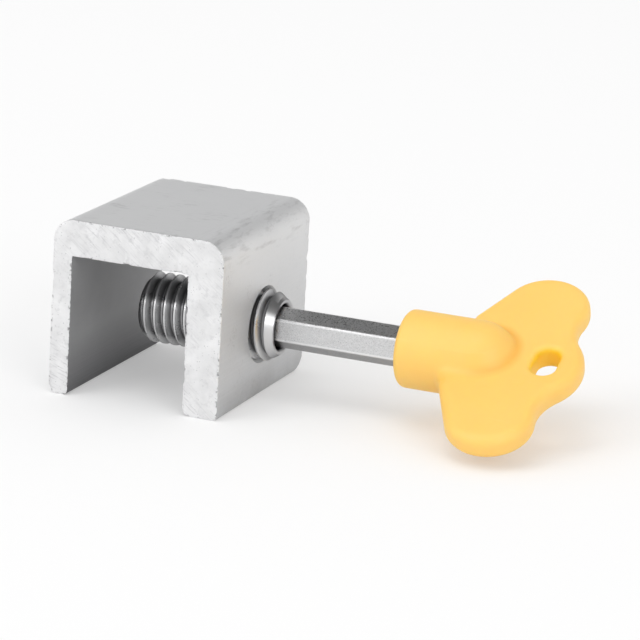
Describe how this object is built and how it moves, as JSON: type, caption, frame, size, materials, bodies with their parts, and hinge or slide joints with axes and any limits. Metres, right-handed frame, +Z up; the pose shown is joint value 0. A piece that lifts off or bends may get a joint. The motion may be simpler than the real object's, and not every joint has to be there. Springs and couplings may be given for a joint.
{
  "type": "sliding window lock",
  "caption": "U-shaped aluminium channel lock that clamps over a sliding window's track with a socket set screw, turned by a hex key with a winged plastic handle.",
  "frame": {"origin": "middle of the mouth between the channel's two legs, on the surface that the legs stand on", "axes": "+X along the screw towards the key, +Y along the channel, +Z up towards the web"},
  "size_m": [0.0706, 0.033, 0.0245],
  "materials": {
    "channel": "satin, sawn at the ends",
    "screw": "bright zinc-plated thread",
    "blade": "nickel-plated drawn hex bar",
    "handle": "soft-gloss moulded yellow plastic"
  },
  "bodies": {
    "channel": {"channel_body": "channel"},
    "key": {"key_blade": "blade", "key_handle": "handle"},
    "screw": {"set_screw": "screw"}
  },
  "joints": [
    {"name": "key_turn", "type": "hinge", "parent": "channel", "child": "key", "pos_m": [0.0154, 0, 0.01], "axis": [1, 0, 0], "range_deg": [-1080, 360]},
    {"name": "screw_travel", "type": "slide", "parent": "key", "child": "screw", "axis": [1, 0, 0], "range_m": [-0.0045, 0.0015]}
  ],
  "couplings": [
    {"joint": "screw_travel", "follows": "key_turn", "m_per_rad": 0.00023873}
  ]
}
